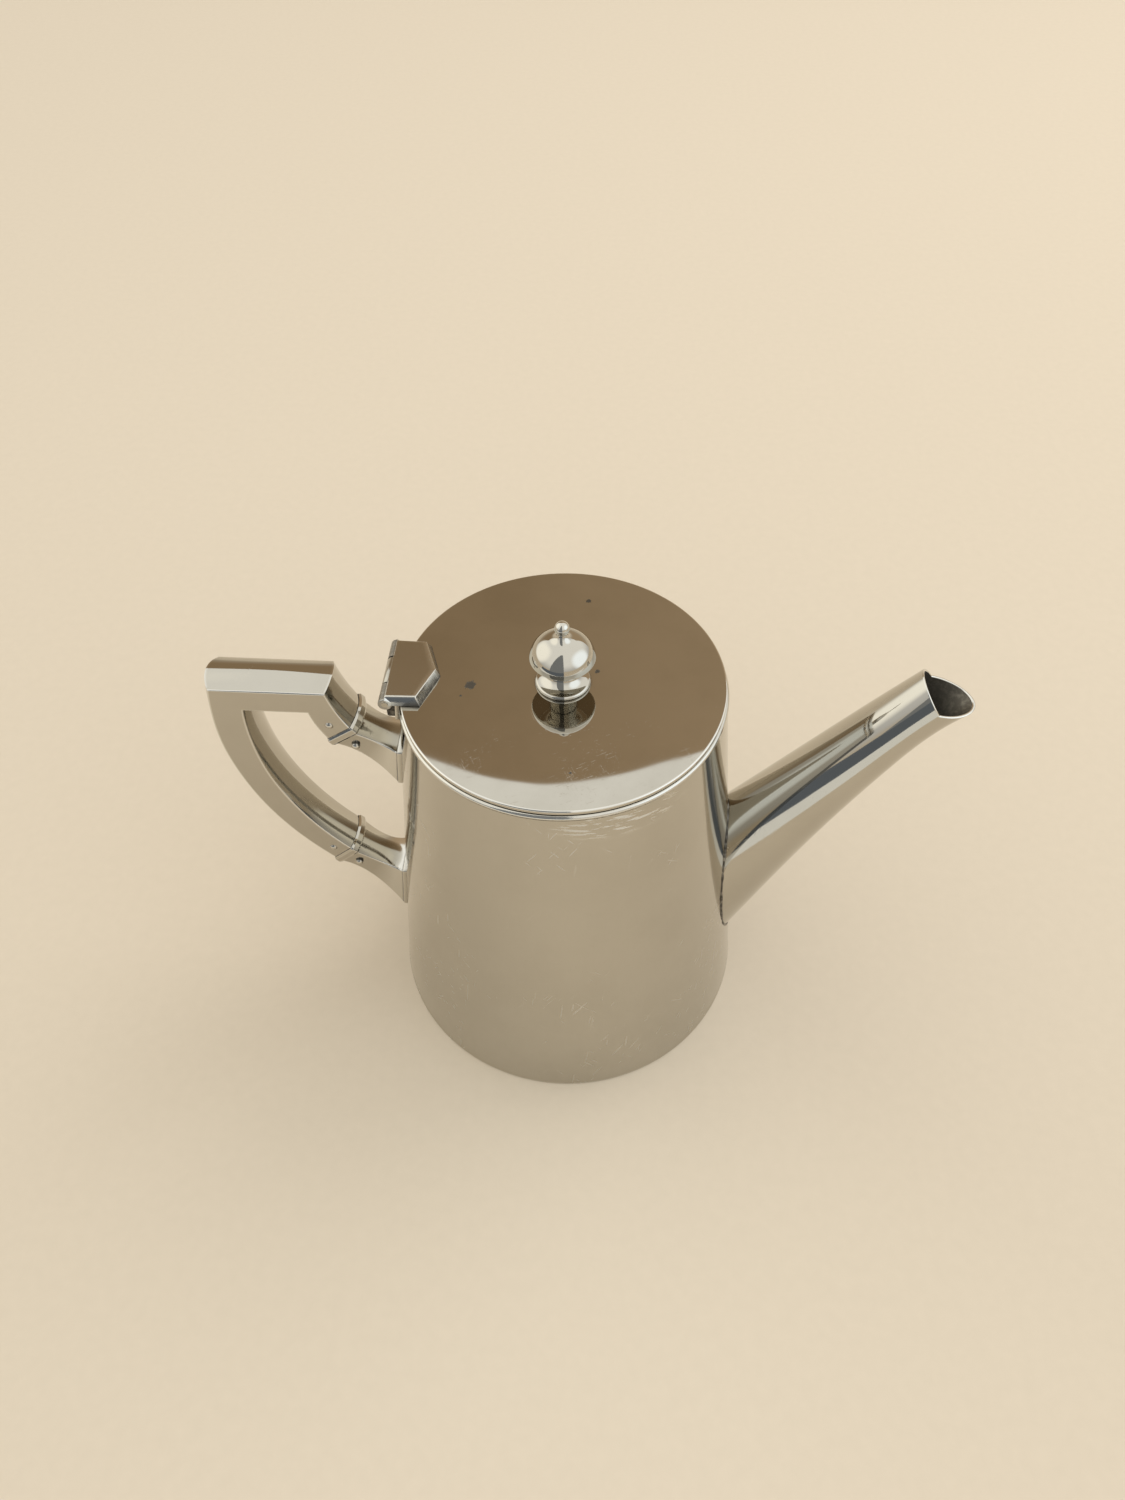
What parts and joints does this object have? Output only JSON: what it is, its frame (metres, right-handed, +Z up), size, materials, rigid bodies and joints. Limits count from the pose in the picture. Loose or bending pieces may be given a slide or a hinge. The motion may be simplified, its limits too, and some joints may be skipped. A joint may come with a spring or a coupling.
{
  "type": "coffee pot",
  "caption": "Straight-sided tapered metal coffee pot with a slanting spout, a mitred loop handle in collared sockets, and a flat hinged lid with a turned finial.",
  "frame": {"origin": "centre of the underside, on the table", "axes": "+Z up through the pot's axis, +X towards the spout, +Y across the pot"},
  "size_m": [0.1996, 0.1078, 0.1443],
  "materials": {
    "silver": "polished and lightly worn",
    "heat_break": "dull"
  },
  "bodies": {
    "pot": {"body_shell": "silver", "base_plate": "silver", "mouth_rim": "silver", "spout": "silver", "upper_socket_pad": "silver", "lower_socket_pad": "silver", "upper_socket": "silver", "lower_socket": "silver", "upper_collar": "silver", "lower_collar": "silver", "upper_tenon": "heat_break", "lower_tenon": "heat_break", "handle_grip": "silver", "upper_grip_pin": "silver", "upper_socket_pin": "silver", "lower_grip_pin": "silver", "lower_socket_pin": "silver", "hinge_leaf": "silver", "hinge_pin": "silver"},
    "lid": {"lid_plate": "silver", "lid_flange": "silver", "hinge_cover": "silver", "finial_knob": "silver", "finial_washer": "silver", "finial_nut": "silver"}
  },
  "joints": [
    {"name": "lid_hinge", "type": "hinge", "parent": "pot", "child": "lid", "pos_m": [-0.0444, 0, 0.124], "axis": [0, -1, 0], "range_deg": [0, 105]}
  ]
}
